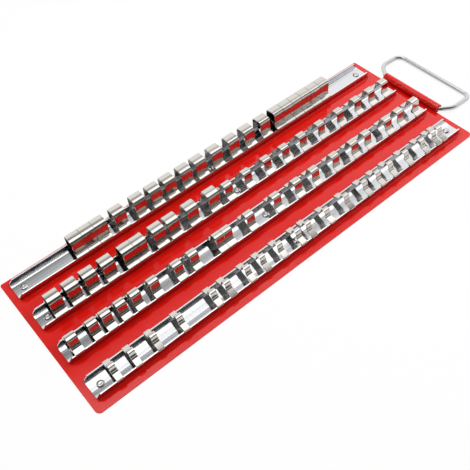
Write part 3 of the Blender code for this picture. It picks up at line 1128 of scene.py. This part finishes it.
# %% Camera
CAMERA_PLACE = Vector((-0.24716, -0.31749, 0.46408))
CAMERA_AHEAD = Vector((0.3621, 0.5079, -0.7816)).normalized()
CAMERA_RIGHT = Vector((0.7647, -0.6414, -0.0626))
CAMERA_LENS = 51.82
CAMERA_SENSOR = 36.0
CAMERA_CLIP = 0.01

squared = (CAMERA_RIGHT - CAMERA_AHEAD * CAMERA_RIGHT.dot(CAMERA_AHEAD)).normalized()
upright = squared.cross(CAMERA_AHEAD)
camera_data = bpy.data.cameras.new("camera")
camera_data.lens = CAMERA_LENS
camera_data.sensor_width = CAMERA_SENSOR
camera_data.clip_start = CAMERA_CLIP
camera = bpy.data.objects.new("camera", camera_data)
camera.matrix_world = Matrix.Translation(CAMERA_PLACE) @ (
    Matrix((squared, upright, -CAMERA_AHEAD)).transposed().to_4x4()
)
bpy.context.scene.collection.objects.link(camera)
bpy.context.scene.camera = camera
print("Camera at", [round(c, 3) for c in CAMERA_PLACE])

# %% [markdown]
# ## The lamps
#
# Mirror-like metal shows whatever stands round it. A lamp that is strong enough to light the tray
# would make hard white edges in the metal, so two sets share the work: three soft lamps light the
# object and are left out of reflections, and five dimmer faces under the ceiling are there for the
# metal to mirror.

# %% Lights
CEILING = 1.20
# Name, place, target, size and radiance
LAMPS = (
    ("key", (-0.45, 0.66, 1.15), (-0.05, 0, 0), (0.80, 0.45), 3.6),
    ("front", (0.60, -0.55, 0.90), (0, 0, 0), (0.50, 0.50), 4.6),
    ("side", (0.85, -0.10, 0.75), (0, 0, 0), (0.50, 0.50), 4.8),
)
# Name, left, right, near and far edge, and radiance
FACES = (
    ("face, left", -1.10, 0.10, -0.06, 0.54, 1.9),
    ("face, middle", 0.10, 0.74, -0.06, 0.52, 1.7),
    ("face, right", 0.74, 1.60, -0.06, 0.52, 1.1),
    ("rim", -0.90, 0.60, 0.54, 0.66, 1.2),
    ("glint", -0.30, 0.05, 0.54, 0.62, 3.5),
)


def softbox(name, place, target, size, radiance, mirrored):
    """A rectangular lamp that looks at a point. Its power comes from how bright its face is."""
    data = bpy.data.lights.new(name, "AREA")
    data.shape = "RECTANGLE"
    data.size, data.size_y = size
    data.energy = radiance * math.pi * size[0] * size[1]
    lamp = bpy.data.objects.new(name, data)
    lamp.location = place
    aim = Vector(target) - Vector(place)
    lamp.rotation_euler = aim.to_track_quat("-Z", "Y").to_euler()
    lamp.visible_camera = False
    lamp.visible_glossy = mirrored
    bpy.context.scene.collection.objects.link(lamp)


for name, place, target, size, radiance in LAMPS:
    softbox(name, place, target, size, radiance, mirrored=False)
for name, left, right, near, far, radiance in FACES:
    middle = ((left + right) * HALF, (near + far) * HALF)
    size = (right - left, far - near)
    softbox(name, (*middle, CEILING), (*middle, 0), size, radiance, mirrored=True)
print("Lamps that light:", len(LAMPS), "and faces that the metal mirrors:", len(FACES))

# %% [markdown]
# ## The room
#
# Round the table is a room with pale walls and a darker ceiling, which only the metal sees. It is a
# ramp over the height that a direction points to, and no walls are built. The ramp is tilted, so
# that the room darkens lower down at its front left, and a shade darkens that side once more. This
# gives the steep metal faces their dark tones beside bright ones.

# %% The room as the metal sees it
# Height along the tilted axis, and grey level there
WALL_STOPS = (
    (0.40, 1.20),
    (0.48, 1.05),
    (0.52, 0.85),
    (0.56, 0.60),
    (0.62, 0.46),
    (0.69, 0.25),
    (1.00, 0.22),
)
WALL_TILT = (-0.25, -0.25, 1.0)
FRONT_SIDE = (1.0, 1.0, 0.0)
FRONT_FAR, FRONT_NEAR = -0.60, -0.10
FRONT_SHADE = 0.20


def measure_along(tree, direction, axis):
    """How far a direction reaches along an axis."""
    node = add_node(tree, "ShaderNodeVectorMath", operation="DOT_PRODUCT")
    node.inputs[1].default_value = axis
    tree.links.new(direction, node.inputs[0])
    return node.outputs["Value"]


def wall_ramp(tree, height):
    """Grey levels by height."""
    ramp = add_node(tree, "ShaderNodeValToRGB")
    elements = ramp.color_ramp.elements
    elements.remove(elements[1])
    elements[0].position = 0
    elements[0].color = (*grey(WALL_STOPS[0][1]), 1)
    for position, level in WALL_STOPS:
        elements.new(position).color = (*grey(level), 1)
    tree.links.new(height, ramp.inputs["Fac"])
    return ramp.outputs["Color"]


def mirrored_room(tree):
    """The walls' ramp, darkened towards the front."""
    direction = add_node(tree, "ShaderNodeTexCoord").outputs["Generated"]
    walls = wall_ramp(tree, measure_along(tree, direction, WALL_TILT))
    shade = add_node(
        tree,
        "ShaderNodeMapRange",
        From_Min=FRONT_FAR,
        From_Max=FRONT_NEAR,
        To_Min=FRONT_SHADE,
        To_Max=1.0,
    )
    tree.links.new(measure_along(tree, direction, FRONT_SIDE), shade.inputs["Value"])
    room = add_node(tree, "ShaderNodeVectorMath", operation="SCALE")
    tree.links.new(walls, room.inputs[0])
    tree.links.new(shade.outputs["Result"], room.inputs["Scale"])
    return room.outputs["Vector"]


print("The room has", len(WALL_STOPS), "grey levels")

# %% [markdown]
# ## The world, and how colours are shown
#
# The world gives each kind of ray its own answer: white to the camera, the room to mirrors and an
# even grey to everything else. The view transform is Standard, so a colour shows as it is written.

# %% World
AMBIENT = 0.28
WHITE = 1.0
WORLD_STRENGTH = 1.0

world = bpy.data.worlds.new("studio")
bpy.context.scene.world = world
world.use_nodes = True
studio = world.node_tree
path = add_node(studio, "ShaderNodeLightPath")
lit = mix_colours(studio, path.outputs["Is Glossy Ray"], grey(AMBIENT), mirrored_room(studio))
seen = mix_colours(studio, path.outputs["Is Camera Ray"], lit, grey(WHITE))
backdrop = studio.nodes["Background"]
studio.links.new(seen, backdrop.inputs["Color"])
backdrop.inputs["Strength"].default_value = WORLD_STRENGTH
bpy.context.scene.view_settings.view_transform = "Standard"
print("World:", world.name, "with an even light of", AMBIENT)
